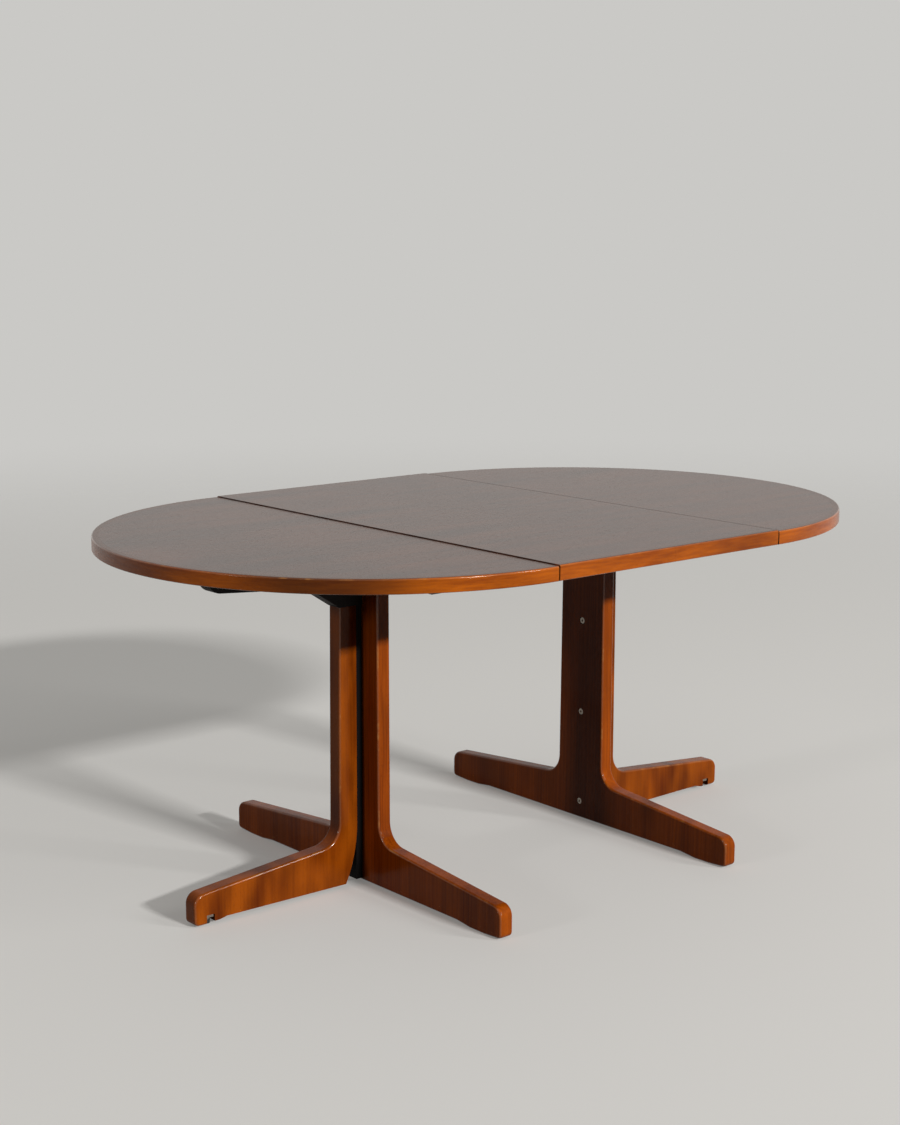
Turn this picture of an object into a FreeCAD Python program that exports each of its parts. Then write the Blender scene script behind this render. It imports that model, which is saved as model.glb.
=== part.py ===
"""Oval dining table on a split pedestal, drawn out, with its folding butterfly leaf laid in.

Two half-round tops stand on two mirrored half pedestals. A pair of steel rails joins the
halves and carries the leaf on swing arms. X runs along the table, Y across it and Z up,
with the origin on the floor under the middle. Lengths are in millimetres.
"""
import FreeCAD, Part
import math
import os

V = FreeCAD.Vector
ALONG, ACROSS, UP = V(1, 0, 0), V(0, 1, 0), V(0, 0, 1)
SIDES = (-1, 1)
CUT_OVERRUN = 2.0
POINT_TOLERANCE = 1e-6

# Table top and leaf
table_height = 735.0
top_radius = 550.0
top_thickness = 28.0
leaf_width = 600.0
lipping_width = 14.0
upper_arris = 4.0
lower_arris = 2.0
near_seam = 2.8
far_seam = 1.2
leaf_proud = 2.0
leaf_joint = 0.2
undercut_play = 0.2
rest_play = 0.2

# Half pedestal: the wide board with its two feet
board_thickness = 32.0
board_drop = 80.0
post_half_top = 66.0
post_half_foot = 69.0
foot_reach = 438.0
foot_tip_height = 64.0
foot_root_height = 96.0
foot_fillet = 46.0
tip_round = 23.0
toe_rise = 3.0
toe_round = 10.0
toe_run = 50.0
pad_length = 40.0
pad_slope = 40.0
pad_curve = 60.0
underside_raise = 4.5
leg_edge_round = 5.0

# Half pedestal: the spacer strip and the L-shaped leg
strip_thickness = 16.0
strip_width = 30.0
strip_floor_gap = 10.0
leg_thickness = 36.0
leg_drop = 122.0
leg_depth_top = 41.0
leg_depth_foot = 44.0
leg_reach = 443.0
leg_toe_height = 3.0
leg_sole_height = 6.5
leg_heel_height = 7.0
leg_arch_rise = 3.5
heel_height = 132.0
heel_set = 29.0
notch_inset = 27.0
notch_play = 1.5
notch_headroom = 8.0
notch_heel = 12.0
notch_heel_slope = 16.0

# Connector bolts that draw leg, strip and board together
bolt_floor_height = 43.0
bolt_drop = 123.0
bolt_height_shares = (0, 1 / 2, 1)
bolt_radius = 4.0
bolt_hole_play = 0.3
bolt_head_radius = 6.7
bolt_head_height = 5.0
bolt_head_sink = 1.0
bolt_socket_across = 5.0
bolt_socket_depth = 3.0
counterbore_play = 0.8
insert_wall = 2.0
insert_length = 16.0
insert_sink = 2.0
fit_clearance = 0.05

# Arm that carries the half top, and the battens that keep it flat
arm_thickness = 36.0
arm_reach = 397.0
arm_neck_drop = 63.0
arm_stow_gap = 5.0
arm_knee_run = 74.0
arm_knee_drop = 75.0
arm_knee_curve = 160.0
arm_tip_drop = 55.0
arm_tip_round = 28.0
arm_inner_round = 12.0
dowel_radius = 5.0
dowel_length = 48.0
dowel_end_gap = 1.0
dowel_place_shares = (1 / 4, 3 / 4)
batten_thickness = 15.0
batten_width = 50.0
batten_arm_gap = 2.0
batten_spacing = 175.0
batten_reach_shares = (0.905, 0.555)
batten_screw_shares = (0.12, 0.88)
batten_snipe = 8.0
screw_radius = 2.0
screw_head_radius = 4.0
screw_head_height = 2.6
screw_bite = 12.0
arm_screw_radius = 2.5
arm_screw_head_radius = 4.6
arm_screw_head_height = 3.0
arm_screw_pocket_play = 0.9
arm_screw_seat_drop = 27.0
arm_screw_inset = 45.0
arm_end_screw_length = 70.0
arm_end_screw_rise = 18.0
arm_end_screw_share = 1 / 4

# Slide: steel rails in steel channels
channel_width = 44.0
channel_height = 20.0
channel_wall = 2.5
channel_length = 150.0
channel_slot = 16.0
channel_bridge = 12.0
rail_clearance = 0.5
rail_end_gap = 2.0
draw_travel = 50.0
stop_pin_radius = 4.0
stop_pin_height = 2.0
stop_play = 1.0

# Leaf rests that reach from the half tops under the leaf
rest_plate_width = 60.0
rest_plate_thickness = 4.0
rest_plate_grip = 40.0
rest_plate_reach = 25.0
rest_plate_offset = 300.0

# Swing arms that carry the leaf's near wing
swing_arm_thickness = 6.0
swing_arm_width = 18.0
swing_pin_radius = 4.0
swing_pin_head_radius = 6.5
swing_pin_head_height = 3.0
swing_lean = 62.5
bracket_starts = (60.0, 180.0)
bracket_drop = 12.0
bracket_thickness = 4.0
bracket_width = 30.0
bracket_ear_radius = 9.0
bracket_flange = 26.0
swing_play = 0.2

# Concealed barrel hinges on the fold
barrel_radius = 7.0
barrel_length = 20.0
barrel_slot = 3.0
barrel_offsets = (-380.0, 0.0, 380.0)
link_thickness = 2.4
link_height = 6.0
link_grip = 12.0
link_reach = 8.0

# Levelling glides in the notches of the L-shaped feet
glide_pad_radius = 7.5
glide_pad_height = 7.0
glide_stem_radius = 3.0
glide_stem_length = 30.0
glide_nut_across = 10.0
glide_nut_height = 6.0
glide_hole_spare = 4.0
glide_plate_length = 31.0
glide_plate_thickness = 6.0
glide_screw_offset = 10.0
glide_screw_bite = 11.0
glide_screw_radius = 1.5
glide_screw_head_radius = 2.8
glide_screw_head_height = 1.8

# Places worked out from the sizes above
under_top = table_height - top_thickness
half_edge = (leaf_width + near_seam + far_seam) / 2
leaf_near = near_seam - half_edge
leaf_far = half_edge - far_seam
fold_line = (leaf_near + leaf_far) / 2
under_leaf = under_top + rest_play
leaf_top = table_height + leaf_proud
panel_radius = top_radius - lipping_width
board_top = under_top - board_drop
leg_top = under_top - leg_drop
leg_back = board_thickness + strip_thickness
heel_fall = heel_height - leg_heel_height
heel_curve = (heel_fall ** 2 + heel_set ** 2) / (2 * heel_set)
notch_width = 2 * (glide_pad_radius + notch_play)
notch_height = glide_pad_height + glide_nut_height + notch_headroom
notch_out = leg_reach - notch_inset
notch_in = notch_out - notch_width
pad_end = foot_reach - toe_run
pad_start = pad_end - pad_length
bolt_rise = leg_top - bolt_drop - bolt_floor_height
bolt_heights = [bolt_floor_height + bolt_rise * share for share in bolt_height_shares]
counterbore_depth = bolt_head_height + bolt_head_sink
insert_radius = bolt_radius + insert_wall
arm_neck_top = under_top - arm_neck_drop
arm_riser_start = leaf_width / 4 + arm_stow_gap
arm_shoulder = leg_back + leg_depth_top
arm_screw_seat = under_top - arm_screw_seat_drop
batten_starts = (arm_riser_start, arm_riser_start + batten_spacing)
rail_width = channel_width - 2 * channel_wall - 2 * rail_clearance
rail_bottom = board_top + channel_wall + rail_clearance
rail_top = board_top + channel_height - channel_wall - rail_clearance
rail_offset = (arm_thickness + channel_width) / 2
rail_half_length = half_edge + channel_length - rail_end_gap

pieces = {}


def keep(name, *solids):
    """Files the solids of one node under its name."""
    pieces[name] = solids[0] if len(solids) == 1 else Part.makeCompound(list(solids))


def box(low, high):
    """A block between two opposite corners."""
    span = V(*high) - V(*low)
    return Part.makeBox(span.x, span.y, span.z, V(*low))


def rod(start, axis, length, radius):
    """A plain round bar from a start point along an axis."""
    return Part.makeCylinder(radius, length, V(*start), axis)


def cut(solid, tools):
    """Takes a list of tool solids away from a solid."""
    return solid.cut(Part.makeCompound(tools)) if tools else solid


def outline(corners, place):
    """A closed face through (u, v, radius) corners, with an arc at each corner that has a radius."""
    edges, ends = [], []
    count = len(corners)
    for i, (u, v, radius) in enumerate(corners):
        corner = V(u, v, 0)
        before = V(*corners[i - 1][:2], 0) - corner
        after = V(*corners[(i + 1) % count][:2], 0) - corner
        before.normalize()
        after.normalize()
        if radius == 0:
            ends.append((corner, None, corner))
            continue
        half = before.getAngle(after) / 2
        back = radius / math.tan(half)
        middle = before + after
        middle.normalize()
        bulge = radius / math.sin(half) - radius
        ends.append((corner + before * back, corner + middle * bulge, corner + after * back))
    for i, (start, bulge, end) in enumerate(ends):
        if bulge is not None:
            edges.append(Part.Arc(place(start), place(bulge), place(end)).toShape())
        following = ends[(i + 1) % count][0]
        if not end.isEqual(following, POINT_TOLERANCE):
            edges.append(Part.LineSegment(place(end), place(following)).toShape())
    return Part.Face(Part.Wire(edges))


def in_board_plane(p):
    """Outline coordinates on the board's inner face: across the table and up."""
    return V(half_edge, p.x, p.y)


def in_leg_plane(half_thickness):
    """Outline coordinates on a vertical plane along the table: out from the seam and up."""
    return lambda p: V(half_edge + p.x, -half_thickness, p.y)


def soften(solid, radius, chosen):
    """Rounds the edges whose middle point is chosen."""
    edges = []
    for edge in solid.Edges:
        first, last = edge.ParameterRange
        if chosen(edge.valueAt((first + last) / 2)):
            edges.append(edge)
    return solid.makeFillet(radius, edges)


def screw(head, axis, length, radius, head_radius, head_height):
    """A countersunk wood screw, from the top of its head along its axis."""
    start = V(*head)
    cone = Part.makeCone(head_radius, radius, head_height, start, axis)
    return cone.fuse(Part.makeCylinder(radius, length, start, axis))


def screw_hole(head, axis, length, radius, head_radius, head_height):
    """The hole that a screw of these sizes fills, wider by the fit clearance."""
    return screw(head, axis, length + fit_clearance, radius + fit_clearance,
                 head_radius + fit_clearance, head_height)


def hexagon(centre, axis, across_flats, height):
    """A six-sided prism on a centre point along an axis."""
    corner_radius = across_flats / math.sqrt(3)
    points = [V(corner_radius * math.cos(k * math.pi / 3), corner_radius * math.sin(k * math.pi / 3), 0)
              for k in range(7)]
    prism = Part.Face(Part.makePolygon(points)).extrude(UP * height)
    prism.Placement = FreeCAD.Placement(V(*centre), FreeCAD.Rotation(UP, axis))
    return prism


def half_top():
    """The half-round veneered panel and the bent lipping round its edge."""
    seat = V(half_edge, 0, under_top)
    panel = Part.makeCylinder(panel_radius, top_thickness, seat, UP, 180)
    panel.rotate(seat, UP, -90)
    section = outline([(panel_radius, 0, 0), (top_radius, 0, lower_arris),
                       (top_radius, top_thickness, upper_arris), (panel_radius, top_thickness, 0)],
                      lambda p: V(half_edge, -p.x, under_top + p.y))
    lipping = section.revolve(seat, UP, 180)
    return panel, lipping


def pedestal_board():
    """The inverted-T board: a post between two feet, sawn from one wide blank."""
    side = [(pad_start - pad_slope, underside_raise, pad_curve),
            (pad_start, 0, pad_curve),
            (pad_end, 0, pad_curve),
            (foot_reach, toe_rise, toe_round),
            (foot_reach, foot_tip_height, tip_round),
            (post_half_foot, foot_root_height, foot_fillet),
            (post_half_top, board_top, 0)]
    corners = side + [(-u, v, r) for u, v, r in reversed(side)]
    board = outline(corners, in_board_plane).extrude(ALONG * board_thickness)
    middle = half_edge + board_thickness / 2
    return soften(board, leg_edge_round,
                  lambda p: abs(abs(p.x - middle) - board_thickness / 2) < fit_clearance
                  and p.z < board_top - fit_clearance)


def heel_offset(height):
    """How far the L-leg's curved heel stands back from its straight back edge at a height."""
    fall = min(max(heel_height - height, 0), heel_fall)
    return heel_curve - math.sqrt(heel_curve ** 2 - fall ** 2)


def l_leg():
    """The L-shaped leg: a post and one outward foot, with a curved heel and a glide notch."""
    heel_corner = heel_height - heel_curve * heel_set / heel_fall
    corners = [(leg_back, leg_top, 0),
               (leg_back, heel_corner, heel_curve),
               (leg_back + heel_set, leg_heel_height, 0),
               (notch_in - notch_heel - notch_heel_slope, leg_sole_height + leg_arch_rise, 0),
               (notch_in - notch_heel, leg_sole_height, 0),
               (notch_in, leg_sole_height, 0),
               (notch_in, notch_height, 0),
               (notch_out, notch_height, 0),
               (notch_out, leg_toe_height, 0),
               (leg_reach, leg_toe_height, toe_round),
               (leg_reach, foot_tip_height, tip_round),
               (leg_back + leg_depth_foot, foot_root_height, foot_fillet),
               (leg_back + leg_depth_top, leg_top, 0)]
    leg = outline(corners, in_leg_plane(leg_thickness / 2)).extrude(ACROSS * leg_thickness)
    front_share = 0.5
    front = half_edge + leg_back + leg_depth_top * front_share
    return soften(leg, leg_edge_round, lambda p: abs(abs(p.y) - leg_thickness / 2) < fit_clearance
                  and p.x > front and notch_height < p.z < leg_top - fit_clearance)


def arm():
    """The cranked arm: low over the post, where the folded leaf is stowed, and up to the top beyond."""
    corners = [(board_thickness, leg_top, 0),
               (arm_shoulder, leg_top, 0),
               (arm_shoulder + arm_knee_run, under_top - arm_knee_drop, arm_knee_curve),
               (arm_reach, under_top - arm_tip_drop, arm_tip_round),
               (arm_reach, under_top, 0),
               (arm_riser_start, under_top, 0),
               (arm_riser_start, arm_neck_top, arm_inner_round),
               (board_thickness, arm_neck_top, 0)]
    return outline(corners, in_leg_plane(arm_thickness / 2)).extrude(ACROSS * arm_thickness)


def batten(start, inner, reach, side):
    """One batten under the half top, from beside the arm to a sniped end."""
    low, high = half_edge + start, half_edge + start + batten_width
    under = under_top - batten_thickness
    points = [(inner, under, 0), (reach - batten_snipe, under, 0), (reach, under + batten_snipe, 0),
              (reach, under_top, 0), (inner, under_top, 0)]
    return outline(points, lambda p: V(low, side * p.x, p.y)).extrude(ALONG * (high - low))


def channel(side):
    """One slide channel: a box section, slotted along its top up to a bridge that stops the rail."""
    inner = side * arm_thickness / 2
    outer = side * (arm_thickness / 2 + channel_width)
    y_low, y_high = min(inner, outer), max(inner, outer)
    end = half_edge + channel_length
    top = board_top + channel_height
    section = box((half_edge, y_low, board_top), (end, y_high, top))
    bore = box((half_edge - CUT_OVERRUN, y_low + channel_wall, board_top + channel_wall),
               (end + CUT_OVERRUN, y_high - channel_wall, top - channel_wall))
    middle = side * rail_offset
    slot = box((half_edge + channel_bridge, middle - channel_slot / 2, board_top + channel_height / 2),
               (end + CUT_OVERRUN, middle + channel_slot / 2, top + CUT_OVERRUN))
    return section.cut(bore).cut(slot)


def connector_bolt(height, insert_start):
    """A socket-head bolt, sunk in the board's inner face and screwed into the leg's insert."""
    under_head = half_edge + counterbore_depth
    head_start = under_head - bolt_head_height
    head = rod((head_start, 0, height), ALONG, bolt_head_height, bolt_head_radius)
    socket = hexagon((head_start, 0, height), ALONG, bolt_socket_across, bolt_socket_depth)
    shank = rod((under_head, 0, height), ALONG, insert_start + insert_length - under_head, bolt_radius)
    return head.cut(socket).fuse(shank)


def threaded_insert(height, start):
    """The metal sleeve in the leg that takes the connector bolt."""
    sleeve = rod((start, 0, height), ALONG, insert_length, insert_radius)
    bore = rod((start - CUT_OVERRUN, 0, height), ALONG, insert_length + 2 * CUT_OVERRUN,
               bolt_radius + fit_clearance)
    return sleeve.cut(bore)


def build_half(name, place):
    """Builds one half of the table on the far side, and puts it in place by a function of a solid."""
    panel, lipping = half_top()
    board, leg, bearer = pedestal_board(), l_leg(), arm()
    strip = box((half_edge + board_thickness, -strip_width / 2, strip_floor_gap),
                (half_edge + leg_back, strip_width / 2, leg_top))

    bolts, inserts, board_holes, strip_holes, leg_holes = [], [], [], [], []
    for height in bolt_heights:
        insert_start = half_edge + leg_back + heel_offset(height) + insert_sink
        bolts.append(connector_bolt(height, insert_start))
        inserts.append(threaded_insert(height, insert_start))
        hole = rod((half_edge - CUT_OVERRUN, 0, height), ALONG, leg_back + 2 * CUT_OVERRUN,
                   bolt_radius + bolt_hole_play)
        board_holes += [hole, rod((half_edge - CUT_OVERRUN, 0, height), ALONG,
                                  counterbore_depth + CUT_OVERRUN, bolt_head_radius + counterbore_play)]
        strip_holes.append(hole)
        leg_holes.append(rod((half_edge + leg_back - CUT_OVERRUN, 0, height), ALONG,
                             insert_start + insert_length - half_edge - leg_back + CUT_OVERRUN,
                             insert_radius + fit_clearance))

    # Two dowels stand in the leg's top end and locate the arm on it.
    dowels, dowel_holes = [], []
    for share in dowel_place_shares:
        x = half_edge + leg_back + leg_depth_top * share
        spot = (x, 0, leg_top - dowel_length / 2)
        dowels.append(rod(spot, UP, dowel_length, dowel_radius))
        dowel_holes.append(rod((x, 0, spot[2] - dowel_end_gap), UP, dowel_length + 2 * dowel_end_gap,
                               dowel_radius + fit_clearance))

    # Long screws through the arm hold the top, and two through the board hold the arm's end.
    arm_screws, arm_holes, panel_holes = [], [], []
    for x in (half_edge + arm_riser_start + arm_screw_inset, half_edge + arm_reach - arm_screw_inset):
        head = (x, 0, arm_screw_seat)
        sizes = (arm_screw_seat_drop + screw_bite, arm_screw_radius,
                 arm_screw_head_radius, arm_screw_head_height)
        arm_screws.append(screw(head, UP, *sizes))
        arm_holes += [screw_hole(head, UP, *sizes),
                      rod((x, 0, leg_top), UP, arm_screw_seat - leg_top,
                          arm_screw_head_radius + arm_screw_pocket_play)]
        panel_holes.append(screw_hole(head, UP, *sizes))
    for side in SIDES:
        head = (half_edge, side * arm_thickness * arm_end_screw_share, leg_top + arm_end_screw_rise)
        sizes = (arm_end_screw_length, arm_screw_radius, arm_screw_head_radius, arm_screw_head_height)
        arm_screws.append(screw(head, ALONG, *sizes))
        arm_holes.append(screw_hole(head, ALONG, *sizes))
        board_holes.append(screw_hole(head, ALONG, *sizes))

    battens, batten_screws, batten_holes = [], [], []
    inner = arm_thickness / 2 + batten_arm_gap
    for start, reach_share in zip(batten_starts, batten_reach_shares):
        reach = reach_share * math.sqrt(panel_radius ** 2 - (start + batten_width) ** 2)
        for side in SIDES:
            battens.append(batten(start, inner, reach, side))
            x = half_edge + start + batten_width / 2
            for share in batten_screw_shares:
                head = (x, side * (inner + share * (reach - inner)), under_top - batten_thickness)
                sizes = (batten_thickness + screw_bite, screw_radius, screw_head_radius, screw_head_height)
                batten_screws.append(screw(head, UP, *sizes))
                batten_holes.append(screw_hole(head, UP, *sizes))

    rests = [box((half_edge - rest_plate_reach, side * rest_plate_offset - rest_plate_width / 2,
                  under_top - rest_plate_thickness),
                 (half_edge + rest_plate_grip, side * rest_plate_offset + rest_plate_width / 2, under_top))
             for side in SIDES]

    # A threaded plate on the notch's ceiling carries the glide, held by two screws.
    glide_x = half_edge + (notch_in + notch_out) / 2
    plate_under = notch_height - glide_plate_thickness
    plate = box((glide_x - glide_pad_radius, -glide_plate_length / 2, plate_under),
                (glide_x + glide_pad_radius, glide_plate_length / 2, notch_height))
    stem_hole = rod((glide_x, 0, plate_under - CUT_OVERRUN), UP,
                    glide_pad_height + glide_stem_length - plate_under + glide_hole_spare + CUT_OVERRUN,
                    glide_stem_radius + fit_clearance)
    plate_screws, plate_holes = [], [stem_hole]
    for side in SIDES:
        head = (glide_x, side * glide_screw_offset, plate_under)
        sizes = (glide_plate_thickness + glide_screw_bite, glide_screw_radius,
                 glide_screw_head_radius, glide_screw_head_height)
        plate_screws.append(screw(head, UP, *sizes))
        plate_holes.append(screw_hole(head, UP, *sizes))

    keep(name + "_top_panel", place(cut(panel, panel_holes + batten_holes)))
    keep(name + "_top_lipping", place(lipping))
    keep(name + "_pedestal_board", place(cut(board, board_holes)))
    keep(name + "_spacer_strip", place(cut(strip, strip_holes)))
    keep(name + "_l_leg", place(cut(leg, leg_holes + dowel_holes + plate_holes)))
    keep(name + "_connector_bolts", *[place(s) for s in bolts])
    keep(name + "_threaded_inserts", *[place(s) for s in inserts])
    keep(name + "_top_arm", place(cut(bearer, arm_holes + dowel_holes)))
    keep(name + "_arm_dowels", *[place(s) for s in dowels])
    keep(name + "_arm_screws", *[place(s) for s in arm_screws])
    keep(name + "_battens", *[place(cut(s, batten_holes)) for s in battens])
    keep(name + "_batten_screws", *[place(s) for s in batten_screws])
    keep(name + "_slide_channels", *[place(channel(side)) for side in SIDES])
    keep(name + "_leaf_rests", *[place(s) for s in rests])
    keep(name + "_glide_plate", place(cut(plate, plate_holes)))
    keep(name + "_glide_plate_screws", *[place(s) for s in plate_screws])


def build_glide(name, place):
    """One levelling glide: a threaded stem with a hexagon on a plastic pad, in the foot's notch."""
    x = half_edge + (notch_in + notch_out) / 2
    pad = rod((x, 0, 0), UP, glide_pad_height, glide_pad_radius)
    stem = hexagon((x, 0, glide_pad_height), UP, glide_nut_across, glide_nut_height)
    stem = stem.fuse(rod((x, 0, glide_pad_height), UP, glide_stem_length, glide_stem_radius))
    keep(name + "_glide_pad", place(pad))
    keep(name + "_glide_stem", place(stem))


def wing(low, high, far_undercut, barrels):
    """One wing of the leaf: a veneered panel and the straight lippings on its two short ends."""
    def prism(y_low, y_high):
        points = [V(low, y_low, under_leaf), V(high - far_undercut, y_low, under_leaf),
                  V(high, y_low, leaf_top), V(low, y_low, leaf_top), V(low, y_low, under_leaf)]
        return Part.Face(Part.makePolygon(points)).extrude(ACROSS * (y_high - y_low))

    panel = cut(prism(-panel_radius, panel_radius), barrels)
    lippings = []
    for side in SIDES:
        outer = side * top_radius
        lipping = prism(*sorted((side * panel_radius, outer)))
        for height, radius in ((leaf_top, upper_arris), (under_leaf, lower_arris)):
            lipping = soften(lipping, radius, lambda p: abs(p.y - outer) < fit_clearance
                             and abs(p.z - height) < fit_clearance)
        lippings.append(lipping)
    return panel, lippings


def build_leaf():
    """The two wings, with barrel hinges let into the edges that meet on the fold."""
    height = (leaf_top + under_leaf) / 2
    undercut = (leaf_top - under_leaf) ** 2 / leaf_width + undercut_play
    holes = [rod((fold_line - barrel_length, y, height), ALONG, 2 * barrel_length,
                 barrel_radius + fit_clearance) for y in barrel_offsets]
    slots = [box((fold_line - barrel_length - CUT_OVERRUN, y - barrel_slot / 2, under_leaf),
                 (fold_line + barrel_length + CUT_OVERRUN, y + barrel_slot / 2, leaf_top))
             for y in barrel_offsets]
    near_panel, near_lippings = wing(leaf_near, fold_line - leaf_joint / 2, 0, holes)
    far_panel, far_lippings = wing(fold_line + leaf_joint / 2, leaf_far, undercut, holes)
    keep("near_wing_panel", near_panel)
    keep("near_wing_lippings", *near_lippings)
    keep("far_wing_panel", far_panel)
    keep("far_wing_lippings", *far_lippings)

    length = barrel_length - leaf_joint / 2
    near_barrels = [rod((fold_line - barrel_length, y, height), ALONG, length, barrel_radius)
                    for y in barrel_offsets]
    far_barrels = [rod((fold_line + leaf_joint / 2, y, height), ALONG, length, barrel_radius)
                   for y in barrel_offsets]
    links = [box((fold_line - link_grip, y - link_thickness / 2, height - link_height / 2),
                 (fold_line + link_reach, y + link_thickness / 2, height + link_height / 2))
             for y in barrel_offsets]
    keep("near_hinge_barrels", *[cut(s, slots) for s in near_barrels])
    keep("far_hinge_barrels", *[cut(s, slots) for s in far_barrels])
    keep("hinge_links", *links)


def build_carrier():
    """The two rails, and the swing arms that hold the near wing up on them."""
    pin_height = (rail_bottom + rail_top) / 2
    hang = under_leaf - bracket_drop
    arm_inner = rail_offset + rail_width / 2 + swing_play
    arm_outer = arm_inner + swing_arm_thickness
    ear_inner = arm_outer + swing_play
    ear_outer = ear_inner + bracket_thickness
    rails, stops, arms, brackets, pins = [], [], [], [], []
    for side in SIDES:
        middle = side * rail_offset
        rail = box((-rail_half_length, middle - rail_width / 2, rail_bottom),
                   (rail_half_length, middle + rail_width / 2, rail_top))
        for end in SIDES:
            x = end * (half_edge + channel_bridge + draw_travel + stop_play + stop_pin_radius)
            stops.append(rod((x, middle, rail_top), UP, channel_wall + stop_pin_height, stop_pin_radius))
        pin_holes = []
        for start in bracket_starts:
            hung = V(leaf_near + start, side * arm_inner, hang)
            foot = hung + V(swing_lean, 0, pin_height - hang)
            arms.append(swing_arm(hung, foot, side))
            brackets.append(bracket(hung.x, side * ear_inner, side * ear_outer))
            axis = ACROSS * side
            pins.append(pivot_pin(V(foot.x, middle, foot.z), axis, arm_outer - rail_offset))
            pins.append(pivot_pin(V(hung.x, side * arm_inner, hung.z), axis, ear_outer - arm_inner))
            pin_holes.append(rod((foot.x, middle, foot.z), axis, rail_width,
                                 swing_pin_radius + fit_clearance))
        rails.append(cut(rail, pin_holes))
    keep("slide_rails", *rails)
    keep("rail_stops", *stops)
    keep("swing_arms", *arms)
    keep("swing_pins", *pins)
    keep("leaf_brackets", *brackets)


def swing_arm(hung, foot, side):
    """A flat steel link with round ends, bored for a pin at each end."""
    half = swing_arm_width / 2
    axis = ACROSS * side
    run = foot - hung
    across = V(-run.z, 0, run.x)
    across.normalize()
    corners = [hung + across * half, foot + across * half, foot - across * half, hung - across * half]
    bar = Part.Face(Part.makePolygon(corners + corners[:1])).extrude(axis * swing_arm_thickness)
    for end in (hung, foot):
        bar = bar.fuse(Part.makeCylinder(half, swing_arm_thickness, end, axis))
    bores = [Part.makeCylinder(swing_pin_radius + fit_clearance, swing_arm_thickness + 2 * CUT_OVERRUN,
                               end - axis * CUT_OVERRUN, axis) for end in (hung, foot)]
    return cut(bar.removeSplitter(), bores)


def bracket(x, y_inner, y_outer):
    """An angle bracket under the wing: a flange against the wood and an ear for the pin."""
    y_low, y_high = min(y_inner, y_outer), max(y_inner, y_outer)
    out = math.copysign(1, y_outer)
    ear_bottom = under_leaf - bracket_drop
    ear = box((x - bracket_ear_radius, y_low, ear_bottom), (x + bracket_ear_radius, y_high, under_leaf))
    tab = Part.makeCylinder(bracket_ear_radius, bracket_thickness, V(x, y_low, ear_bottom), ACROSS)
    flange_low, flange_high = sorted((y_inner, y_inner + out * bracket_flange))
    flange = box((x - bracket_width / 2, flange_low, under_leaf - bracket_thickness),
                 (x + bracket_width / 2, flange_high, under_leaf))
    bore = rod((x, y_low - CUT_OVERRUN, ear_bottom), ACROSS, bracket_thickness + 2 * CUT_OVERRUN,
               swing_pin_radius + fit_clearance)
    return ear.fuse(tab).fuse(flange).removeSplitter().cut(bore)


def pivot_pin(start, axis, grip):
    """A shouldered pin with a flat round head."""
    shank = Part.makeCylinder(swing_pin_radius, grip + swing_play, start, axis)
    head_start = start + axis * (grip + swing_play)
    return shank.fuse(Part.makeCylinder(swing_pin_head_radius, swing_pin_head_height, head_start, axis))


def as_built(solid):
    """The far half stays where it is built."""
    return solid


def mirrored(solid):
    """The near half is the far half's mirror image across the middle of the table."""
    return solid.mirror(V(0, 0, 0), ALONG)


for half_name, half_place in (("near", mirrored), ("far", as_built)):
    build_half(half_name, half_place)
    build_glide(half_name, half_place)
build_leaf()
build_carrier()

os.makedirs("parts", exist_ok=True)
for node, shape in pieces.items():
    shape.exportStep(os.path.join("parts", node + ".step"))
print(len(pieces), "nodes")
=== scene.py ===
"""Oval extension table in teak, drawn out on its split pedestal with the folding leaf laid in.

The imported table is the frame: its pieces stay where they are and get their finish here, and only the two
bent lippings are drawn anew, so that their rounded edge carries a smooth highlight. Lengths are in metres,
in the table's own frame: X along the table, Y across it, Z up from the floor.
"""
import math

import bpy
import numpy as np
from mathutils import Matrix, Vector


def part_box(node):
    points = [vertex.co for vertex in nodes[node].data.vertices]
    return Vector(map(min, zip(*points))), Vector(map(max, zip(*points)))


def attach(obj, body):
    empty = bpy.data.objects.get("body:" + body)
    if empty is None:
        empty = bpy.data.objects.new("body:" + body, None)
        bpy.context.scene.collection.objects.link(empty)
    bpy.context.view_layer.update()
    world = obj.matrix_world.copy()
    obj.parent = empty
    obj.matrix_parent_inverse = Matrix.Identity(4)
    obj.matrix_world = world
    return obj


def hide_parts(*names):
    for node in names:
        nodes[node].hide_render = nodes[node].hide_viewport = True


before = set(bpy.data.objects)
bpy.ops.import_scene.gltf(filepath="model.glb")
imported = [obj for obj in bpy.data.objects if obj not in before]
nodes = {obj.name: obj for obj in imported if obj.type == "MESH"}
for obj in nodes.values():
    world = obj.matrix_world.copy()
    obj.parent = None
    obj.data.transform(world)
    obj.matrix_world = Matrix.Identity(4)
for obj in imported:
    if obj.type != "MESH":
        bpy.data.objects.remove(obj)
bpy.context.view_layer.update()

# Pedestal boards: each is an inverted T sawn from a wide blank of solid teak, glued up from upright
# staves, so that the grain stands upright in the feet too. The arrises are rounded over and the whole
# is stained a warm brown under a satin lacquer.
ENDS = ("near", "far")


def at_both_ends(*pieces):
    """The names of the near and the far one of each of these pieces."""
    return [end + "_" + piece for end in ENDS for piece in pieces]


def dress(material, *names):
    """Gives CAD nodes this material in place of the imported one."""
    for name in names:
        nodes[name].data.materials.clear()
        nodes[name].data.materials.append(material)


def linear(hex_colour):
    """An sRGB hex value as linear red, green, blue and full alpha."""
    srgb = np.array([int(hex_colour[i:i + 2], 16) for i in (1, 3, 5)]) / 255
    rgb = np.where(srgb <= 0.04045, srgb / 12.92, ((srgb + 0.055) / 1.055) ** 2.4)
    return (*rgb.tolist(), 1.0)


def per_metre(*sizes_mm):
    """How often cells of these sizes, in millimetres, fit in a metre."""
    return [1000 / size for size in sizes_mm]


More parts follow.
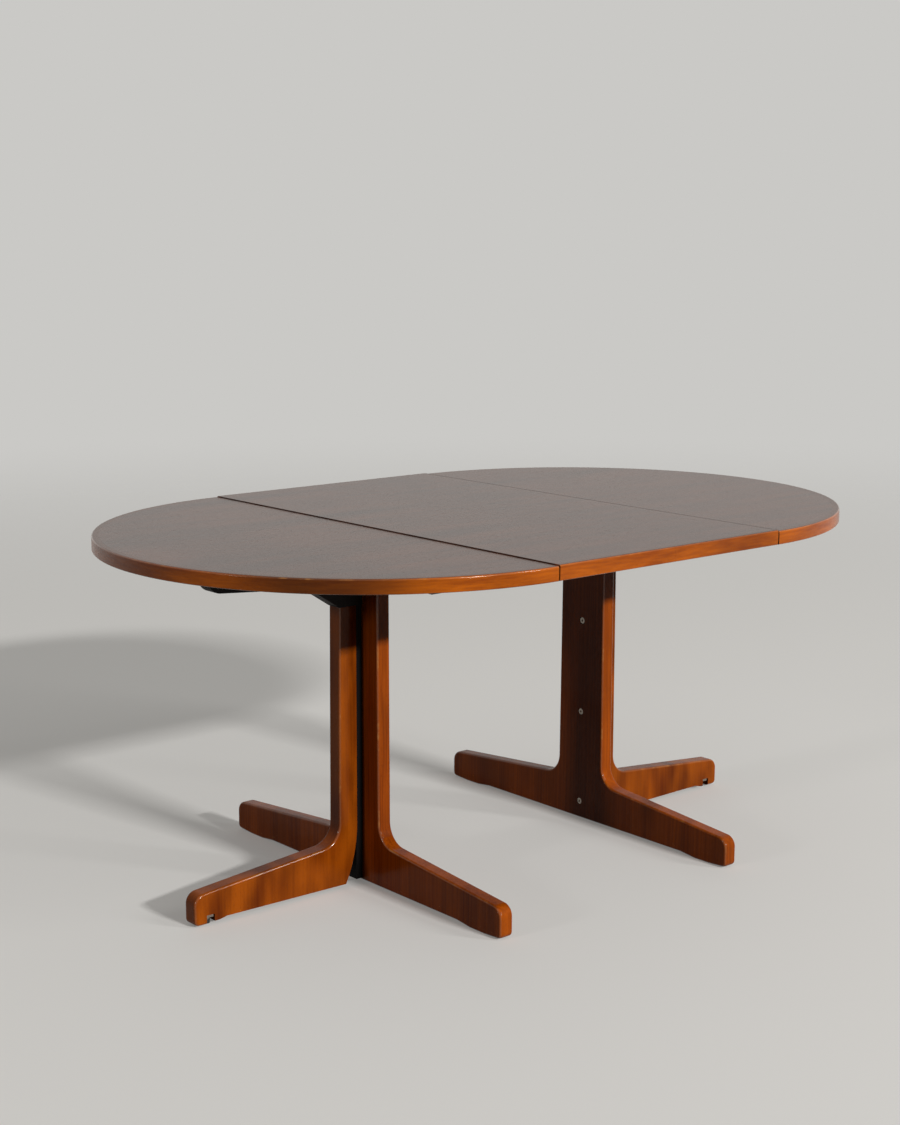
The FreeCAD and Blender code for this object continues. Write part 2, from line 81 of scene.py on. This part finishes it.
def new_material(name):
    """An empty node material and its tree."""
    made = bpy.data.materials.new(name)
    made.use_nodes = True
    made.node_tree.nodes.clear()
    return made, made.node_tree


def add(tree, kind, settings, inputs):
    """Adds one node with its settings; an input is a plain value, or the socket or node that feeds it.

    Inputs go by name or number. A MapRange's are 0 the value, 1 and 2 the range that it takes, 3 and 4 the
    range that it gives. A colour Mix's are 0 the share of the second colour, 6 and 7 the two colours.
    """
    made = tree.nodes.new("ShaderNode" + kind)
    for name, value in settings.items():
        setattr(made, name, value)
    for key, value in inputs.items():
        if isinstance(value, bpy.types.Node):
            value = value.outputs[0]
        if isinstance(value, bpy.types.NodeSocket):
            tree.links.new(value, made.inputs[key])
        else:
            made.inputs[key].default_value = value
    return made


def lacquered_teak(name, grain_of, dark, light, band_mm, line_mm=(420, 5, 5), line_share=0.4,
                   sheen=0.06, tint="#ffcc94", gloss=0.12, arris_gloss=0.8, thin="Z",
                   darker_stretch=None, seam_dirt_and_shade=None, top=None):
    """Satin-lacquered teak. grain_of turns Object coordinates into along, across and deep of the grain.

    Soft broad bands and fine late-wood lines, both drawn out along the grain and swayed a little, mix two
    browns, and large clouds deepen them. Short dark pores lie on top. The lines, 2.6 to 5 mm wide, and the
    pores, 0.6 mm wide, are about twice the real size, so that they show. The lacquer is rubbed bright, and
    pale in spots, on the rounded arrises, which are where a normal is neither along the piece's thin axis
    nor square to it; a faint painted highlight also pales every arris all along. Near the floor the lacquer
    has lost a few chips.

    sheen is how much the lacquer reflects and tint is the colour of that, while gloss and arris_gloss are
    the share of a clear bright coat on the flats and on the arrises. darker_stretch is how far along the
    grain the middle of a darker stretch lies, seam_dirt_and_shade is how far dirt and painted shade reach
    from the far joint with the leaf, and top is the brown of an upper face that is stained with the veneer.
    """
    made, tree = new_material(name)
    place = add(tree, "TexCoord", {}, {}).outputs["Object"]
    axes = add(tree, "SeparateXYZ", {}, {0: place}).outputs
    grain = grain_of(tree, place)

    # The grain leaves its straight course by noise about its middle value, across and deep but not along.
    sway_mm = (320, 70, 70)
    sway_width = 0.018
    noise_middle = (0.5, 0.5, 0.5)
    cells = add(tree, "VectorMath", {"operation": "MULTIPLY"}, {0: grain, 1: per_metre(*sway_mm)})
    sway = add(tree, "TexNoise", {}, {"Vector": cells, "Scale": 1.0, "Detail": 1.0}).outputs["Color"]
    sway = add(tree, "VectorMath", {"operation": "SUBTRACT"}, {0: sway, 1: noise_middle})
    sway = add(tree, "VectorMath", {"operation": "MULTIPLY"}, {0: sway, 1: (0.0, sway_width, sway_width)})
    swayed = add(tree, "VectorMath", {"operation": "ADD"}, {0: grain, 1: sway})

    # Each layer is noise in cells of a size in millimetres. Noise keeps mostly between 0.3 and 0.7, and
    # the part of it from low to high becomes least to most of that layer. The scuffs' least share is a faint
    # painted highlight that lies along every arris.
    layers = {}
    for layer, vector, cell_mm, detail, ease, low, high, least, most in (
            ("bands", swayed, band_mm, 1.0, "SMOOTHSTEP", 0.25, 0.75, 0.0, 1.0),
            ("lines", swayed, line_mm, 3.0, "SMOOTHSTEP", 0.32, 0.68, 0.0, 1.0),
            ("pores", swayed, (11, 0.6, 0.6), 1.0, "LINEAR", 0.60, 0.70, 0.0, 1.0),
            ("clouds", grain, (220, 110, 110), 2.0, "LINEAR", 0.35, 0.65, 0.82, 1.15),
            ("scuffs_and_sheen", place, (26, 26, 26), 3.0, "LINEAR", 0.56, 0.72, 0.06, 0.50),
            ("chips", place, (6, 6, 4), 2.0, "LINEAR", 0.70, 0.73, 0.0, 1.0)):
        cells = add(tree, "VectorMath", {"operation": "MULTIPLY"}, {0: vector, 1: per_metre(*cell_mm)})
        noise = add(tree, "TexNoise", {}, {"Vector": cells, "Scale": 1.0, "Detail": detail})
        layers[layer] = add(tree, "MapRange", {"interpolation_type": ease},
                            {0: noise, 1: low, 2: high, 3: least, 4: most})

    tone = add(tree, "Mix", {}, {0: line_share, 2: layers["bands"], 3: layers["lines"]})
    colour = add(tree, "Mix", {"data_type": "RGBA"}, {0: tone, 6: linear(dark), 7: linear(light)}).outputs[2]
    shade = layers["clouds"]
    if darker_stretch is not None:
        # One stretch along the grain is drawn darker, fading out to either side of its middle.
        stretch_core, stretch_end = 0.03, 0.24
        stretch_darkening = 0.35
        along = add(tree, "SeparateXYZ", {}, {0: grain}).outputs["X"]
        away = add(tree, "Math", {"operation": "SUBTRACT"}, {0: along, 1: darker_stretch})
        away = add(tree, "Math", {"operation": "ABSOLUTE"}, {0: away})
        darker = add(tree, "MapRange", {"interpolation_type": "SMOOTHSTEP"},
                     {0: away, 1: stretch_core, 2: stretch_end, 3: stretch_darkening})
        shade = add(tree, "Math", {"operation": "MULTIPLY"}, {0: shade, 1: darker})
    colour = add(tree, "VectorMath", {"operation": "SCALE"}, {0: colour, "Scale": shade}).outputs[0]

    # Pores are dark and dull: they add to the lacquer's roughness.
    pore_brown, pore_share = "#2a0f04", 0.35
    lacquer_roughness, pore_roughness = 0.24, 0.12
    darker = add(tree, "Math", {"operation": "MULTIPLY"}, {0: layers["pores"], 1: pore_share})
    colour = add(tree, "Mix", {"data_type": "RGBA"},
                 {0: darker, 6: colour, 7: linear(pore_brown)}).outputs[2]
    dull = add(tree, "Math", {"operation": "MULTIPLY_ADD"},
               {0: layers["pores"], 1: pore_roughness, 2: lacquer_roughness})

    # The square of the normal's part along the thin axis, times what is left of one, is nothing on a flat
    # and a quarter halfway round an arris.
    arris_start, arris_full = 0.05, 0.20
    normal = add(tree, "NewGeometry", {}, {}).outputs["Normal"]
    flat = add(tree, "SeparateXYZ", {}, {0: normal}).outputs[thin]
    flat = add(tree, "Math", {"operation": "MULTIPLY"}, {0: flat, 1: flat})
    slant = add(tree, "Math", {"operation": "SUBTRACT"}, {0: 1.0, 1: flat})
    arris = add(tree, "Math", {"operation": "MULTIPLY"}, {0: flat, 1: slant})
    arris = add(tree, "MapRange", {}, {0: arris, 1: arris_start, 2: arris_full})
    if arris_gloss is not None:
        gloss = add(tree, "MapRange", {}, {0: arris, 3: gloss, 4: arris_gloss})

    # Bare wood shows in the scuffs on an arris and in the chips, which end a little above the floor. The
    # scuffs never fall below a faint share, so a painted highlight pales every arris all along.
    pale_wear_and_sheen = "#c4853f"
    most_chips_z, no_chips_z = 0.004, 0.030
    scuffs_and_sheen = add(tree, "Math", {"operation": "MULTIPLY"}, {0: layers["scuffs_and_sheen"], 1: arris})
    near_floor = add(tree, "MapRange", {}, {0: axes["Z"], 1: most_chips_z, 2: no_chips_z, 3: 1.0, 4: 0.0})
    chips = add(tree, "Math", {"operation": "MULTIPLY"}, {0: layers["chips"], 1: near_floor})
    worn_and_sheen = add(tree, "Math", {"operation": "MAXIMUM"}, {0: scuffs_and_sheen, 1: chips})
    colour = add(tree, "Mix", {"data_type": "RGBA"}, {0: worn_and_sheen, 6: colour, 7: linear(pale_wear_and_sheen)}).outputs[2]

    if seam_dirt_and_shade is not None:
        # Dirt and painted shade are full close to a joint and fade over their reach, which grows towards the
        # back along the near joint.
        seam_x, full_dark_width = 0.301, 0.0012
        front_y, front_reach = -0.40, 0.0013
        back_y, back_reach = 0.40, 0.0022
        dirt_and_shade_brown, seam_roughness = "#2a1307", 0.3
        near_reach = add(tree, "MapRange", {},
                         {0: axes["Y"], 1: front_y, 2: back_y, 3: front_reach, 4: back_reach})
        reach = add(tree, "MapRange", {},
                    {0: axes["X"], 1: -seam_x, 2: seam_x, 3: near_reach, 4: seam_dirt_and_shade})
        away = add(tree, "Math", {"operation": "ABSOLUTE"}, {0: axes["X"]})
        away = add(tree, "Math", {"operation": "SUBTRACT"}, {0: away, 1: seam_x})
        away = add(tree, "Math", {"operation": "ABSOLUTE"}, {0: away})
        dirt_and_shade = add(tree, "MapRange", {"interpolation_type": "SMOOTHSTEP"},
                   {0: away, 1: full_dark_width, 2: reach, 3: 1.0, 4: 0.0})
        colour = add(tree, "Mix", {"data_type": "RGBA"},
                     {0: dirt_and_shade, 6: colour, 7: linear(dirt_and_shade_brown)}).outputs[2]
        dull = add(tree, "Math", {"operation": "MULTIPLY_ADD"}, {0: dirt_and_shade, 1: seam_roughness, 2: dull})

    if top is not None:
        # The stain starts where the rounded edge turns upwards.
        stain_start, stain_full = 0.75, 0.98
        up = add(tree, "SeparateXYZ", {}, {0: normal}).outputs["Z"]
        up = add(tree, "MapRange", {"interpolation_type": "SMOOTHSTEP"},
                 {0: up, 1: stain_start, 2: stain_full})
        stain = add(tree, "VectorMath", {"operation": "SCALE"},
                    {0: linear(top)[:3], "Scale": layers["clouds"]}).outputs[0]
        colour = add(tree, "Mix", {"data_type": "RGBA"}, {0: up, 6: colour, 7: stain}).outputs[2]

    relief = add(tree, "Math", {"operation": "MULTIPLY_ADD"},
                 {0: layers["pores"], 1: -1.0, 2: layers["lines"]})
    bump = add(tree, "Bump", {}, {"Height": relief, "Strength": 0.08, "Distance": 0.0004})
    shader = add(tree, "BsdfPrincipled", {}, {"Base Color": colour, "Roughness": dull, "IOR": 1.5,
                                              "Specular IOR Level": sheen, "Specular Tint": linear(tint),
                                              "Coat Weight": gloss, "Coat Roughness": 0.12, "Normal": bump})
    add(tree, "OutputMaterial", {}, {"Surface": shader})
    return made


def straight_grain(*axes):
    """Straight grain in a piece whose given axes lie along it, across it and deep into it."""
    def grain_of(tree, place):
        parts = add(tree, "SeparateXYZ", {}, {0: place}).outputs
        return add(tree, "CombineXYZ", {}, {i: parts[axis] for i, axis in enumerate(axes)})
    return grain_of


# Stained solid teak under satin lacquer: an even warm brown in broad upright bands, bright on the arrises.
board_teak = lacquered_teak("lacquered_teak_board", straight_grain("Z", "Y", "X"), "#742d03", "#a84d08",
                            (500, 45, 45), thin="X")
dress(board_teak, *at_both_ends("pedestal_board"))

# Spacer strips: square-edged softwood laths screwed up tight between board and leg.
# They are coloured near black, so that they show as a plain black line between two brown pieces.


def streaked_open_wood(name, colour, streak, roughness):
    """Open-pored wood in one colour: dull, with the grain just showing as paler streaks.

    Noise drawn out upright, 3 mm wide, mixes the colour with its streak; streaks are smoother and higher.
    """
    streak_mm = (3, 3, 160)
    streak_start, streak_full = 0.35, 0.75
    noise_low, noise_high = 0.3, 0.7
    duller, smoother = 0.08, 0.05
    made, tree = new_material(name)
    place = add(tree, "TexCoord", {}, {}).outputs["Object"]
    cells = add(tree, "VectorMath", {"operation": "MULTIPLY"}, {0: place, 1: per_metre(*streak_mm)})
    streaks = add(tree, "TexNoise", {}, {"Vector": cells, "Scale": 1.0, "Detail": 3.0})
    tone = add(tree, "MapRange", {}, {0: streaks, 1: streak_start, 2: streak_full})
    colour = add(tree, "Mix", {"data_type": "RGBA"},
                 {0: tone, 6: linear(colour), 7: linear(streak)}).outputs[2]
    dull = add(tree, "MapRange", {}, {0: streaks, 1: noise_low, 2: noise_high,
                                      3: roughness + duller, 4: roughness - smoother})
    bump = add(tree, "Bump", {}, {"Height": streaks, "Strength": 0.2, "Distance": 0.0004})
    shader = add(tree, "BsdfPrincipled", {}, {"Base Color": colour, "Roughness": dull,
                                              "Specular IOR Level": 0.12, "Normal": bump})
    add(tree, "OutputMaterial", {}, {"Surface": shader})
    return made


# Near-black softwood: it swallows the light, and the grain hardly shows.
near_black = streaked_open_wood("near_black_lath", "#040303", "#0b0908", 0.65)
dress(near_black, *at_both_ends("spacer_strip"))

# L-shaped legs: post and foot sawn from one blank of solid teak, bolted to the board through the strip.
# The grain stands upright, so the foot's long side shows it as soft light and dark bands.

# The boards' stain and lacquer on livelier wood: short broad bands, and few fine lines between them.
leg_teak = lacquered_teak("lacquered_teak_leg", straight_grain("Z", "X", "Y"), "#602403", "#a44f09",
                          (140, 48, 90), line_share=0.15, thin="Y")
dress(leg_teak, *at_both_ends("l_leg"))

# Connector bolts, inserts, screws, glide plates and glide stems: steel turned or pressed to shape
# and zinc plated, which leaves it grey and a little clouded.


def plated_metal(name, colour, clouded, roughness, cell_mm):
    """Plated or drawn metal: a clouded colour and roughness, in cells of the given size.

    Noise mixes the bright metal with its clouded colour; the clouded spots are rougher.
    """
    cloud_start, cloud_full = 0.35, 0.65
    noise_low, noise_high = 0.3, 0.7
    smoother, duller = 0.06, 0.08
    made, tree = new_material(name)
    place = add(tree, "TexCoord", {}, {}).outputs["Object"]
    cells = add(tree, "VectorMath", {"operation": "MULTIPLY"}, {0: place, 1: per_metre(*cell_mm)})
    clouds = add(tree, "TexNoise", {}, {"Vector": cells, "Scale": 1.0, "Detail": 3.0})
    tone = add(tree, "MapRange", {}, {0: clouds, 1: cloud_start, 2: cloud_full})
    colour = add(tree, "Mix", {"data_type": "RGBA"},
                 {0: tone, 6: linear(colour), 7: linear(clouded)}).outputs[2]
    dull = add(tree, "MapRange", {}, {0: clouds, 1: noise_low, 2: noise_high,
                                      3: roughness - smoother, 4: roughness + duller})
    bump = add(tree, "Bump", {}, {"Height": clouds, "Strength": 0.1, "Distance": 0.0001})
    shader = add(tree, "BsdfPrincipled", {}, {"Base Color": colour, "Metallic": 1.0, "Roughness": dull,
                                              "Normal": bump})
    add(tree, "OutputMaterial", {}, {"Surface": shader})
    return made


# Plating out of the air's reach stays a clean light grey; handled and near the floor it tarnishes browner.
zinc = plated_metal("zinc_plated_steel", "#b4b2ab", "#918f88", 0.38, (4, 4, 4))
dull_zinc = plated_metal("tarnished_zinc_plate", "#a0978c", "#7c736a", 0.40, (3, 3, 3))
dress(dull_zinc, *at_both_ends("connector_bolts", "glide_plate", "glide_plate_screws", "glide_stem"))
dress(zinc, *at_both_ends("threaded_inserts", "arm_screws", "batten_screws"))

# Glide pads: black nylon, moulded round the foot of each glide's stem.
# The mould's fine grit leaves it dull; the grit is drawn at 0.8 mm, coarser than life, so that it shows.
grit_mm = (0.8, 0.8, 0.8)
nylon, tree = new_material("moulded_nylon")
place = add(tree, "TexCoord", {}, {}).outputs["Object"]
cells = add(tree, "VectorMath", {"operation": "MULTIPLY"}, {0: place, 1: per_metre(*grit_mm)})
grit = add(tree, "TexNoise", {}, {"Vector": cells, "Scale": 1.0, "Detail": 2.0})
colour = add(tree, "Mix", {"data_type": "RGBA"},
             {0: grit, 6: linear("#0e0e0e"), 7: linear("#1b1b1a")}).outputs[2]
bump = add(tree, "Bump", {}, {"Height": grit, "Strength": 0.15, "Distance": 0.0001})
shader = add(tree, "BsdfPrincipled", {}, {"Base Color": colour, "Roughness": 0.55, "IOR": 1.53,
                                          "Normal": bump})
add(tree, "OutputMaterial", {}, {"Surface": shader})
dress(nylon, *at_both_ends("glide_pad"))

# Arms and battens: beech, out of sight under the tops and screwed to them, coloured nearly black as
# painted shade of the tops' shadow. Plain beech dowels locate each arm on its leg.

# The near-black brown is painted shade, standing for the shadow under the tops; the dowels keep the pale
# straw colour of beech.
shade_black_beech = streaked_open_wood("painted_shade_beech", "#080504", "#150d09", 0.6)
beech = streaked_open_wood("plain_beech", "#b98c5e", "#cfa678", 0.6)
dress(shade_black_beech, *at_both_ends("top_arm", "battens"))
dress(beech, *at_both_ends("arm_dowels"))

# Slide: drawn steel rails in folded steel channels, with steel rest plates under the leaf.
# Flat steel swing arms on pins carry the leaf.

# Drawing leaves fine lines along the rails; they are 1.5 mm wide here, coarser than life, so that they show.
rail_steel = plated_metal("drawn_steel", "#8e8f91", "#77787a", 0.36, (120, 1.5, 1.5))
dress(rail_steel, "slide_rails", "rail_stops", "swing_arms", "leaf_brackets")
dress(rail_steel, *at_both_ends("slide_channels", "leaf_rests"))
dress(zinc, "swing_pins")

# Half tops: a board veneered with book-matched leaves of teak that run along the table, and a lipping
# of solid teak bent round the edge. Both are lacquered together, so that no line shows on the top.
veneer_leaf_width = 0.16
veneer_leaf_step = 0.004


def book_matched(tree, place):
    """Grain along the table in leaves laid side by side, each the mirror image of its neighbour.

    Distance across runs to and fro over a leaf's width, and each leaf is cut one step deeper in the log.
    """
    axes = add(tree, "SeparateXYZ", {}, {0: place}).outputs
    mirrored = add(tree, "Math", {"operation": "PINGPONG"}, {0: axes["Y"], 1: veneer_leaf_width})
    leaf = add(tree, "Math", {"operation": "DIVIDE"}, {0: axes["Y"], 1: veneer_leaf_width})
    leaf = add(tree, "Math", {"operation": "FLOOR"}, {0: leaf})
    deep = add(tree, "Math", {"operation": "MULTIPLY_ADD"}, {0: leaf, 1: veneer_leaf_step, 2: axes["Z"]})
    return add(tree, "CombineXYZ", {}, {0: axes["X"], 1: mirrored, 2: deep})


# Sliced teak under rubbed lacquer: a deep brown with close straight lines, which mirrors the room softly.
veneer = lacquered_teak("lacquered_teak_veneer", book_matched, "#42200e", "#653417", (900, 34, 34),
                        line_mm=(420, 2.6, 2.6), line_share=0.45, sheen=0.62, tint="#ffffff", gloss=0.0,
                        arris_gloss=None, seam_dirt_and_shade=0.006)
dress(veneer, *at_both_ends("top_panel"))

rim_radius = 0.55
lipping_width, lower_round, upper_round = 0.014, 0.002, 0.004


def round_the_rim(centre_x):
    """Grain bent round a half top's rim: along is angle times radius, across is height, deep is radius."""
    def grain_of(tree, place):
        out = add(tree, "VectorMath", {"operation": "SUBTRACT"}, {0: place, 1: (centre_x, 0.0, 0.0)})
        axes = add(tree, "SeparateXYZ", {}, {0: out}).outputs
        side = add(tree, "Math", {"operation": "MULTIPLY"}, {0: axes["X"], 1: math.copysign(1, centre_x)})
        angle = add(tree, "Math", {"operation": "ARCTAN2"}, {0: axes["Y"], 1: side})
        level = add(tree, "VectorMath", {"operation": "MULTIPLY"}, {0: out, 1: (1.0, 1.0, 0.0)})
        radius = add(tree, "VectorMath", {"operation": "LENGTH"}, {0: level}).outputs["Value"]
        along = add(tree, "Math", {"operation": "MULTIPLY"}, {0: angle, 1: rim_radius})
        return add(tree, "CombineXYZ", {}, {0: along, 1: axes["Z"], 2: radius})
    return grain_of


def lipping_section(outer, bottom, top):
    """A lipping's section as rows of radius and height, anticlockwise.

    It is a rectangle whose two outer corners are quarter circles. A point close to each end of a quarter
    keeps the flats flat under smooth shading.
    """
    quarter_points = 13
    hold = 0.0003
    quarter = np.linspace(0, np.pi / 2, quarter_points)
    inner = outer - lipping_width
    low_corner = np.array([outer - lower_round, bottom + lower_round])
    high_corner = np.array([outer - upper_round, top - upper_round])
    low_curve = low_corner + lower_round * np.stack([np.sin(quarter), -np.cos(quarter)], 1)
    high_curve = high_corner + upper_round * np.stack([np.cos(quarter), np.sin(quarter)], 1)
    return np.vstack([[(inner, bottom), (low_corner[0] - hold, bottom)], low_curve,
                      [(outer, low_corner[1] + hold), (outer, high_corner[1] - hold)], high_curve,
                      [(high_corner[0] - hold, top), (inner, top)]])


def half_ring(name, section, centre_x, side):
    """A section carried half a turn round an upright axis, with two flat faces that close it at the seam.

    x is the centre's x plus radius times cosine, on the given side; y is radius times sine.
    """
    turn_points = 241
    sharp_angle = math.radians(30)
    turn = np.linspace(-np.pi / 2, np.pi / 2, turn_points)
    x = centre_x + side * np.outer(np.cos(turn), section[:, 0])
    y = np.outer(np.sin(turn), section[:, 0])
    z = np.broadcast_to(section[:, 1], x.shape)
    here = np.arange(x.size).reshape(x.shape)
    after = np.roll(here, -1, axis=1)
    faces = np.stack([here[:-1], after[:-1], after[1:], here[1:]], -1).reshape(-1, 4).tolist()
    faces += [here[0, ::-1].tolist(), here[-1].tolist()]
    if side > 0:
        faces = [face[::-1] for face in faces]
    mesh = bpy.data.meshes.new(name)
    mesh.from_pydata(np.stack([x, y, z], -1).reshape(-1, 3).tolist(), [], faces)
    mesh.polygons.foreach_set("use_smooth", [True] * len(faces))
    mesh.set_sharp_from_angle(angle=sharp_angle)
    piece = bpy.data.objects.new(name, mesh)
    bpy.context.scene.collection.objects.link(piece)
    return piece


# Solid teak steamed and bent: an orange brown on edge, with short grain lines and one darker stretch, and
# stained on its upper face to pass for the veneer.
lipping_finish = {"dark": "#863804", "light": "#b85b08", "band_mm": (170, 30, 30), "line_mm": (45, 5, 5),
                  "sheen": 0.25, "seam_dirt_and_shade": 0.002, "top": "#562b14"}
for end, side in (("near", -1), ("far", 1)):
    low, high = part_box(end + "_top_lipping")
    seam = high.x if side < 0 else low.x
    piece = half_ring(end + "_bent_lipping", lipping_section(high.y, low.z, high.z), seam, side)
    rim = lacquered_teak("lacquered_teak_rim_" + end, round_the_rim(seam), darker_stretch=-0.42, **lipping_finish)
    piece.data.materials.append(rim)
    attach(piece, end + "_half")
    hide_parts(end + "_top_lipping")

# Folding leaf: two wings veneered like the tops, with straight lippings on their short ends.
# Turned brass barrel hinges, let into the edges that meet, let one wing fold over the other.
dress(veneer, *at_both_ends("wing_panel"))

# The bent lippings' teak, straight along the table, so that the orange brown edge runs on past the joints.
edge_teak = lacquered_teak("lacquered_teak_edge", straight_grain("X", "Z", "Y"), **lipping_finish)
dress(edge_teak, *at_both_ends("wing_lippings"))

# Brass as it leaves the lathe: a warm yellow, barely clouded.
brass = plated_metal("turned_brass", "#b8964a", "#a07e38", 0.3, (5, 5, 5))
dress(brass, *at_both_ends("hinge_barrels"), "hinge_links")

# Studio: a pale floor that fades into a pale backdrop. A wide low lamp on the right is the main one, a tall
# strip beside it lights the arrises, and a weak lamp fills from the left. Floor and backdrop look pale, in
# reflections too, but throw back little light, so that the table's shadowed sides stay dark.
floor_radius, floor_points = 12.0, 96
fade_start, fade_end = 2.0, 8.0
floor_grey, unseen_floor_grey, floor_glow = "#d2d0cc", "#363534", 0.25
backdrop_grey, unseen_backdrop_grey = "#cac9c6", "#1c1c1d"


def where_seen(tree, share):
    """A share raised to one wherever a surface is looked at, straight, in a reflection or through glass."""
    rays = add(tree, "LightPath", {}, {}).outputs
    for ray in ("Is Camera Ray", "Is Glossy Ray", "Is Transmission Ray"):
        share = add(tree, "Math", {"operation": "MAXIMUM"}, {0: share, 1: rays[ray]})
    return share


# The floor is one round face: its corners are cosine and sine, at equal steps of angle, times the radius.
angles = np.linspace(0, 2 * np.pi, floor_points, endpoint=False)
corners = np.stack([np.cos(angles), np.sin(angles), np.zeros_like(angles)], 1) * floor_radius
floor_mesh = bpy.data.meshes.new("floor")
floor_mesh.from_pydata(corners.tolist(), [], [list(range(floor_points))])
floor = bpy.data.objects.new("floor", floor_mesh)
bpy.context.scene.collection.objects.link(floor)
pale_floor, tree = new_material("pale_floor")
place = add(tree, "TexCoord", {}, {}).outputs["Object"]
out = add(tree, "VectorMath", {"operation": "LENGTH"}, {0: place}).outputs["Value"]
fade = add(tree, "MapRange", {"interpolation_type": "SMOOTHSTEP"}, {0: out, 1: fade_start, 2: fade_end})
unseen = add(tree, "BsdfDiffuse", {}, {"Color": linear(unseen_floor_grey)})
seen = add(tree, "BsdfDiffuse", {}, {"Color": linear(floor_grey)})
glow = add(tree, "Emission", {}, {"Color": linear(floor_grey), "Strength": floor_glow})
seen = add(tree, "AddShader", {}, {0: seen, 1: glow})
shader = add(tree, "MixShader", {}, {0: where_seen(tree, 0.0), 1: unseen, 2: seen})
clear = add(tree, "BsdfTransparent", {}, {})
shader = add(tree, "MixShader", {}, {0: fade, 1: shader, 2: clear})
add(tree, "OutputMaterial", {}, {"Surface": shader})
floor_mesh.materials.append(pale_floor)

# The backdrop lights the table only from straight behind it and, less, from overhead.
behind = (0.636, 0.772, 0.0)
behind_start, behind_full = 0.4, 0.95
overhead_start, overhead_full, overhead_share = 0.3, 1.0, 0.4
world = bpy.data.worlds.new("studio")
bpy.context.scene.world = world
world.use_nodes = True
tree = world.node_tree
tree.nodes.clear()
way = add(tree, "TexCoord", {}, {}).outputs["Generated"]
facing = add(tree, "VectorMath", {"operation": "DOT_PRODUCT"}, {0: way, 1: behind}).outputs["Value"]
wall = add(tree, "MapRange", {"interpolation_type": "SMOOTHSTEP"},
           {0: facing, 1: behind_start, 2: behind_full})
overhead = add(tree, "SeparateXYZ", {}, {0: way}).outputs["Z"]
overhead = add(tree, "MapRange", {"interpolation_type": "SMOOTHSTEP"},
               {0: overhead, 1: overhead_start, 2: overhead_full, 4: overhead_share})
wall = add(tree, "Math", {"operation": "MAXIMUM"}, {0: wall, 1: overhead})
pale = where_seen(tree, wall)
colour = add(tree, "Mix", {"data_type": "RGBA"},
             {0: pale, 6: linear(unseen_backdrop_grey), 7: linear(backdrop_grey)}).outputs[2]
light = add(tree, "Background", {}, {"Color": colour, "Strength": 1.0})
add(tree, "OutputWorld", {}, {"Surface": light})

# Each lamp has its watts, its width and height, and its distance, azimuth and elevation from a point 0.4 m
# above the floor under the table's middle. It looks at the floor there.
lamp_centre_z = 0.4
for name, watts, wide, tall, distance, azimuth, elevation in (
        ("main_lamp", 5500.0, 3.9, 0.8, 25.0, -85.0, 22.0),
        ("left_lamp", 215.0, 1.3, 1.3, 14.0, 177.0, 15.0),
        ("strip_lamp", 190.0, 0.7, 4.4, 10.0, -59.0, 29.0)):
    lamp_data = bpy.data.lights.new(name, "AREA")
    lamp_data.shape = "RECTANGLE"
    lamp_data.size = wide
    lamp_data.size_y = tall
    lamp_data.energy = watts
    lamp = bpy.data.objects.new(name, lamp_data)
    bpy.context.scene.collection.objects.link(lamp)
    level = distance * math.cos(math.radians(elevation))
    lamp.location = (level * math.cos(math.radians(azimuth)), level * math.sin(math.radians(azimuth)),
                     distance * math.sin(math.radians(elevation)) + lamp_centre_z)
    lamp.rotation_euler = (-lamp.location.copy()).to_track_quat("-Z", "Y").to_euler()

# Camera: fitted to the top's outline, the feet, the posts and the bolts in the photograph.
# It looks along the table from its near right corner, with the small shift of that framing.
camera_place = (-2.61995, -2.94945, 1.34924)
yaw, pitch = 0.689291, 0.187219
camera_data = bpy.data.cameras.new("camera")
camera_data.sensor_width = 36.0
camera_data.lens = 60.594
camera_data.shift_x = 0.0335
camera_data.shift_y = 0.0109
camera_data.clip_end = 100.0
camera = bpy.data.objects.new("camera", camera_data)
bpy.context.scene.collection.objects.link(camera)
bpy.context.scene.camera = camera
ahead = np.array([math.sin(yaw) * math.cos(pitch), math.cos(yaw) * math.cos(pitch), -math.sin(pitch)])
right = np.array([math.cos(yaw), -math.sin(yaw), 0.0])
turn = Matrix(np.stack([right, np.cross(right, ahead), -ahead], 1).tolist())
camera.matrix_world = Matrix.Translation(camera_place) @ turn.to_4x4()

bpy.context.scene.view_settings.view_transform = "Standard"
